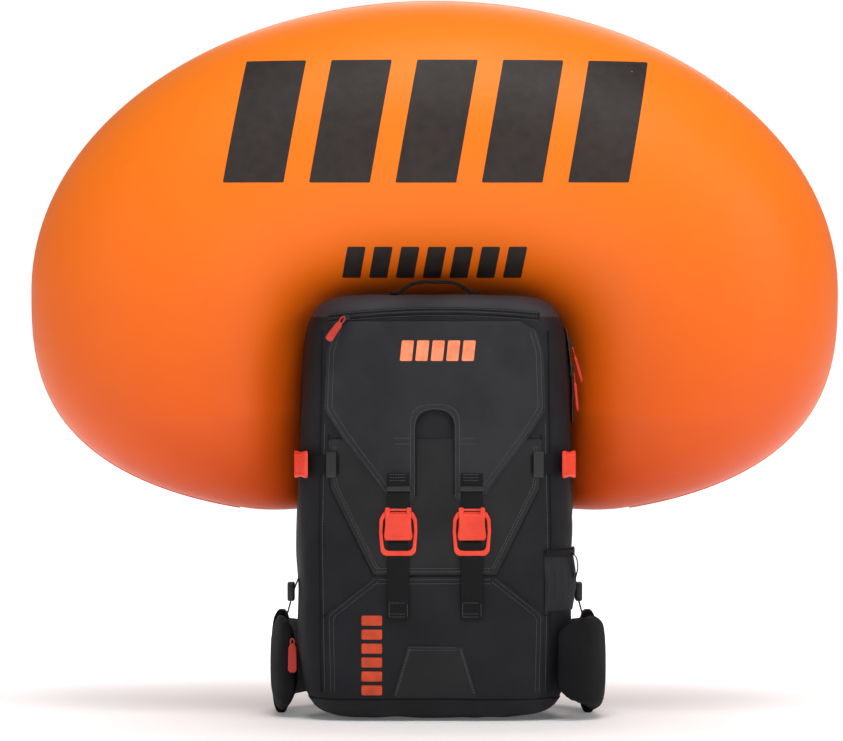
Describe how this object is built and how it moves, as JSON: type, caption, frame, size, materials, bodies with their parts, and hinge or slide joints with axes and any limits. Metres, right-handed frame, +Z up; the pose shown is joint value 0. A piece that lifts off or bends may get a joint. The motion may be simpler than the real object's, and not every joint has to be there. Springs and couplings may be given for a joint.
{
  "type": "avalanche airbag backpack",
  "caption": "Winter backpack with hook-buckled front flap, hip belt and shoulder straps, and a fan-inflated airbag spread behind and around it.",
  "frame": {"origin": "middle of the base, on the surface that the pack stands on", "axes": "+Z up; -Y the outer face of the pack with its buckles; +Y the wearer's side; +X the wearer's right"},
  "size_m": [1.1302, 0.4408, 0.996],
  "materials": {
    "pack_cloth": "coated woven nylon, semi-matte",
    "side_cloth": "coated woven nylon, matte",
    "flap_cloth": "coated woven nylon, semi-matte",
    "webbing": "woven strap, matte",
    "red_plastic": "moulded, satin gloss",
    "black_plastic": "moulded, matte",
    "zip_tape": "coated coil zip",
    "zip_metal": "black painted die-cast",
    "airbag_nylon": "coated ripstop nylon, satin",
    "stretch_mesh": "stretch mesh",
    "covered_foam": "foam under woven cover",
    "valve_rubber": "matte",
    "circuit_board": "solder-mask green",
    "capacitor_sleeve": "shrink sleeve",
    "motor_steel": "plated can"
  },
  "bodies": {
    "pack": {"airbag_front": "airbag_nylon", "airbag_neck": "valve_rubber", "airbag_rear": "airbag_nylon", "back_panel": "covered_foam", "bag_shell": "pack_cloth", "blower_housing_front": "black_plastic", "blower_housing_rear": "black_plastic", "bottom_boot": "pack_cloth", "buckle_frame_left": "red_plastic", "buckle_frame_right": "red_plastic", "circuit_board": "circuit_board", "compression_web_left": "webbing", "compression_web_right": "webbing", "control_box": "black_plastic", "divider_panel": "side_cloth", "electronics_tray": "black_plastic", "frame_sheet": "black_plastic", "front_flap": "flap_cloth", "grab_handle": "webbing", "hip_stabilizer_left": "covered_foam", "hip_stabilizer_right": "covered_foam", "lower_front_panel": "pack_cloth", "lower_web_left": "webbing", "lower_web_right": "webbing", "lumbar_pad": "covered_foam", "mesh_pocket": "stretch_mesh", "motor": "motor_steel", "neck_clamp": "motor_steel", "shoulder_strap_left": "covered_foam", "shoulder_strap_right": "covered_foam", "side_zip_tape": "zip_tape", "strap_web_left": "webbing", "strap_web_right": "webbing", "supercapacitor_left": "capacitor_sleeve", "supercapacitor_right": "capacitor_sleeve", "top_zip_tape": "zip_tape", "trigger_base": "black_plastic", "trigger_cable": "black_plastic", "upper_web_left": "webbing", "upper_web_right": "webbing"},
    "top_zip_slider": {"top_zip_slider": "zip_metal"},
    "top_zip_pull": {"top_zip_pull": "red_plastic"},
    "side_zip_slider_upper": {"side_zip_slider_upper": "zip_metal"},
    "side_zip_pull_upper": {"side_zip_pull_upper": "red_plastic"},
    "side_zip_slider_lower": {"side_zip_slider_lower": "zip_metal"},
    "side_zip_pull_lower": {"side_zip_pull_lower": "red_plastic"},
    "hip_zip_pull": {"hip_zip_pull": "red_plastic"},
    "buckle_hook_left": {"buckle_hook_left": "red_plastic"},
    "buckle_hook_right": {"buckle_hook_right": "red_plastic"},
    "compression_buckle_left": {"compression_buckle_left": "red_plastic"},
    "compression_buckle_right": {"compression_buckle_right": "red_plastic"},
    "hip_belt_left": {"hip_wing_left": "covered_foam", "hip_web_left": "webbing"},
    "hip_belt_right": {"hip_wing_right": "covered_foam", "hip_web_right": "webbing"},
    "sternum_left": {"sternum_strap_left": "webbing"},
    "sternum_right": {"sternum_strap_right": "webbing"},
    "trigger": {"trigger_handle": "red_plastic"},
    "impeller": {"impeller": "black_plastic"},
    "check_valve": {"check_valve": "valve_rubber"}
  },
  "joints": [
    {"name": "top_zip_slide", "type": "slide", "parent": "pack", "child": "top_zip_slider", "axis": [1, 0, 0], "range_m": [0, 0.24]},
    {"name": "top_zip_pull_lift", "type": "hinge", "parent": "top_zip_slider", "child": "top_zip_pull", "pos_m": [-0.122, -0.1493, 0.5545], "axis": [-1, 0, 0], "range_deg": [0, 120]},
    {"name": "side_zip_upper_slide", "type": "slide", "parent": "pack", "child": "side_zip_slider_upper", "axis": [-0.0772, 0, 0.997], "range_m": [0, 0.012]},
    {"name": "side_zip_pull_upper_swing", "type": "hinge", "parent": "side_zip_slider_upper", "child": "side_zip_pull_upper", "pos_m": [0.18848, -0.065, 0.51373], "axis": [0, -1, 0], "range_deg": [0, 15]},
    {"name": "side_zip_lower_slide", "type": "slide", "parent": "pack", "child": "side_zip_slider_lower", "axis": [0.0772, 0, -0.997], "range_m": [0, 0.052]},
    {"name": "side_zip_pull_lower_swing", "type": "hinge", "parent": "side_zip_slider_lower", "child": "side_zip_pull_lower", "pos_m": [0.19122, -0.065, 0.47873], "axis": [0, -1, 0], "range_deg": [0, 15]},
    {"name": "hip_zip_pull_lift", "type": "hinge", "parent": "pack", "child": "hip_zip_pull", "pos_m": [-0.1958, -0.0773, 0.112], "axis": [-1, 0, 0], "range_deg": [0, 110]},
    {"name": "buckle_hook_left_lift", "type": "hinge", "parent": "pack", "child": "buckle_hook_left", "pos_m": [-0.05, -0.1476, 0.292], "axis": [-1, 0, 0], "range_deg": [0, 50]},
    {"name": "compression_buckle_left_lift", "type": "hinge", "parent": "pack", "child": "compression_buckle_left", "pos_m": [-0.19213, -0.10282, 0.35], "axis": [0, 0, -1], "range_deg": [0, 40]},
    {"name": "hip_belt_left_swing", "type": "hinge", "parent": "pack", "child": "hip_belt_left", "pos_m": [-0.228, 0.045, 0.0715], "axis": [0, 0, 1], "range_deg": [0, 40]},
    {"name": "buckle_hook_right_lift", "type": "hinge", "parent": "pack", "child": "buckle_hook_right", "pos_m": [0.05, -0.1476, 0.292], "axis": [-1, 0, 0], "range_deg": [0, 50]},
    {"name": "compression_buckle_right_lift", "type": "hinge", "parent": "pack", "child": "compression_buckle_right", "pos_m": [0.19213, -0.10282, 0.35], "axis": [0, 0, 1], "range_deg": [0, 40]},
    {"name": "hip_belt_right_swing", "type": "hinge", "parent": "pack", "child": "hip_belt_right", "pos_m": [0.228, 0.045, 0.0715], "axis": [0, 0, -1], "range_deg": [0, 40]},
    {"name": "sternum_height", "type": "slide", "parent": "pack", "child": "sternum_left", "axis": [0, 0, 1], "range_m": [-0.02, 0.02]},
    {"name": "sternum_buckle_release", "type": "slide", "parent": "sternum_left", "child": "sternum_right", "axis": [1, 0, 0], "range_m": [0, 0.02]},
    {"name": "trigger_pull", "type": "slide", "parent": "pack", "child": "trigger", "axis": [0, 0, -1], "range_m": [0, 0.045]},
    {"name": "impeller_spin", "type": "hinge", "parent": "pack", "child": "impeller", "pos_m": [0, 0.076, 0.385], "axis": [0, 1, 0], "continuous": true},
    {"name": "check_valve_lift", "type": "hinge", "parent": "pack", "child": "check_valve", "pos_m": [0, 0.0771, 0.44], "axis": [-1, 0, 0], "range_deg": [0, 45]}
  ]
}
